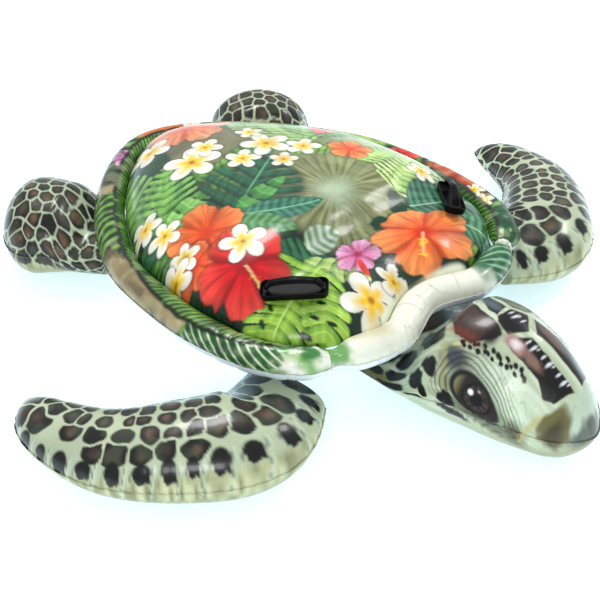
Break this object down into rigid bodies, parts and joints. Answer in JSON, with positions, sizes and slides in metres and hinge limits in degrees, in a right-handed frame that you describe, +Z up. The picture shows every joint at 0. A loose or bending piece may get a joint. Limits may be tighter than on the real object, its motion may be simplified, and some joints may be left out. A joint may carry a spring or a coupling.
{
  "type": "inflatable pool float",
  "caption": "Ride-on sea turtle pool float: domed shell inside a tube rim, head, flippers, grab handles and air valves.",
  "frame": {"origin": "on the ground under the middle of the float, where it rests on its flat belly", "axes": "+Z up, the head points to -Y, the left flippers are on +X"},
  "size_m": [1.7884, 1.656, 0.3702],
  "materials": {
    "printed_shell_vinyl": "glossy printed vinyl",
    "printed_skin_vinyl": "glossy printed vinyl",
    "pale_underside_vinyl": "glossy vinyl",
    "olive_underside_vinyl": "glossy printed vinyl",
    "black_moulded_vinyl": "glossy moulded vinyl",
    "clear_vinyl": "soft clear vinyl"
  },
  "bodies": {
    "shell": {"shell_top_panel": "printed_shell_vinyl", "belly_panel": "pale_underside_vinyl", "rim_upper_panel": "printed_shell_vinyl", "rim_lower_panel": "pale_underside_vinyl", "collar_upper_panel": "printed_shell_vinyl", "collar_lower_panel": "pale_underside_vinyl", "left_handle_pad": "black_moulded_vinyl", "right_handle_pad": "black_moulded_vinyl", "inner_cross_web": "clear_vinyl", "shell_valve_socket": "clear_vinyl", "rim_valve_socket": "clear_vinyl"},
    "front_left_flipper": {"front_left_flipper_upper_panel": "printed_skin_vinyl", "front_left_flipper_lower_panel": "olive_underside_vinyl"},
    "rear_left_flipper": {"rear_left_flipper_upper_panel": "printed_skin_vinyl", "rear_left_flipper_lower_panel": "olive_underside_vinyl"},
    "front_right_flipper": {"front_right_flipper_upper_panel": "printed_skin_vinyl", "front_right_flipper_lower_panel": "olive_underside_vinyl"},
    "rear_right_flipper": {"rear_right_flipper_upper_panel": "printed_skin_vinyl", "rear_right_flipper_lower_panel": "olive_underside_vinyl"},
    "head": {"head_upper_panel": "printed_skin_vinyl", "head_lower_panel": "olive_underside_vinyl"},
    "left_grip": {"left_handle_grip": "black_moulded_vinyl"},
    "right_grip": {"right_handle_grip": "black_moulded_vinyl"},
    "shell_valve_stem": {"shell_valve_stem": "clear_vinyl"},
    "shell_valve_flap": {"shell_valve_flap": "clear_vinyl"},
    "shell_valve_plug": {"shell_valve_plug": "clear_vinyl"},
    "rim_valve_stem": {"rim_valve_stem": "clear_vinyl"},
    "rim_valve_flap": {"rim_valve_flap": "clear_vinyl"},
    "rim_valve_plug": {"rim_valve_plug": "clear_vinyl"}
  },
  "joints": [
    {"name": "front_left_flipper_lift", "type": "hinge", "parent": "shell", "child": "front_left_flipper", "pos_m": [0.437, -0.263, 0.098], "axis": [-0.361, -0.9326, 0], "range_deg": [0, 25], "stiffness_Nm_per_rad": 1.5},
    {"name": "rear_left_flipper_lift", "type": "hinge", "parent": "shell", "child": "rear_left_flipper", "pos_m": [0.318, 0.566, 0.098], "axis": [0.7071, -0.7071, 0], "range_deg": [0, 12], "stiffness_Nm_per_rad": 1.5},
    {"name": "front_right_flipper_lift", "type": "hinge", "parent": "shell", "child": "front_right_flipper", "pos_m": [-0.437, -0.263, 0.098], "axis": [-0.361, 0.9326, 0], "range_deg": [0, 25], "stiffness_Nm_per_rad": 1.5},
    {"name": "rear_right_flipper_lift", "type": "hinge", "parent": "shell", "child": "rear_right_flipper", "pos_m": [-0.318, 0.566, 0.098], "axis": [0.7071, 0.7071, 0], "range_deg": [0, 12], "stiffness_Nm_per_rad": 1.5},
    {"name": "head_lift", "type": "hinge", "parent": "shell", "child": "head", "pos_m": [0, -0.389, 0.092], "axis": [-1, 0, 0], "range_deg": [0, 10], "stiffness_Nm_per_rad": 2.5},
    {"name": "left_grip_fold", "type": "hinge", "parent": "shell", "child": "left_grip", "pos_m": [0.27962, -0.18016, 0.30995], "axis": [-0.6657, -0.7393, 0.1013], "range_deg": [-40, 40], "stiffness_Nm_per_rad": 0.6},
    {"name": "right_grip_fold", "type": "hinge", "parent": "shell", "child": "right_grip", "pos_m": [-0.27962, -0.18016, 0.30995], "axis": [0.6657, -0.7393, 0.1013], "range_deg": [-40, 40], "stiffness_Nm_per_rad": 0.6},
    {"name": "shell_valve_stem_push", "type": "slide", "parent": "shell", "child": "shell_valve_stem", "axis": [0.6884, 0.06, -0.7229], "range_m": [-0.008, 0]},
    {"name": "shell_valve_flap_open", "type": "hinge", "parent": "shell_valve_stem", "child": "shell_valve_flap", "pos_m": [0.30779, 0.13655, 0.11143], "axis": [0.0847, -0.9964, -0.002], "range_deg": [0, 60], "stiffness_Nm_per_rad": 0.0004},
    {"name": "shell_valve_plug_open", "type": "hinge", "parent": "shell_valve_stem", "child": "shell_valve_plug", "pos_m": [0.31868, 0.13751, 0.09478], "axis": [-0.0847, 0.9964, 0.002], "range_deg": [0, 150]},
    {"name": "rim_valve_stem_push", "type": "slide", "parent": "shell", "child": "rim_valve_stem", "axis": [0.8397, 0.3266, -0.4339], "range_m": [-0.008, 0]},
    {"name": "rim_valve_flap_open", "type": "hinge", "parent": "rim_valve_stem", "child": "rim_valve_flap", "pos_m": [0.45061, 0.30514, 0.19086], "axis": [0.4044, 0.1573, 0.901], "range_deg": [0, 60], "stiffness_Nm_per_rad": 0.0004},
    {"name": "rim_valve_plug_open", "type": "hinge", "parent": "rim_valve_stem", "child": "rim_valve_plug", "pos_m": [0.46837, 0.30818, 0.18235], "axis": [-0.4044, -0.1573, -0.901], "range_deg": [0, 150]}
  ]
}
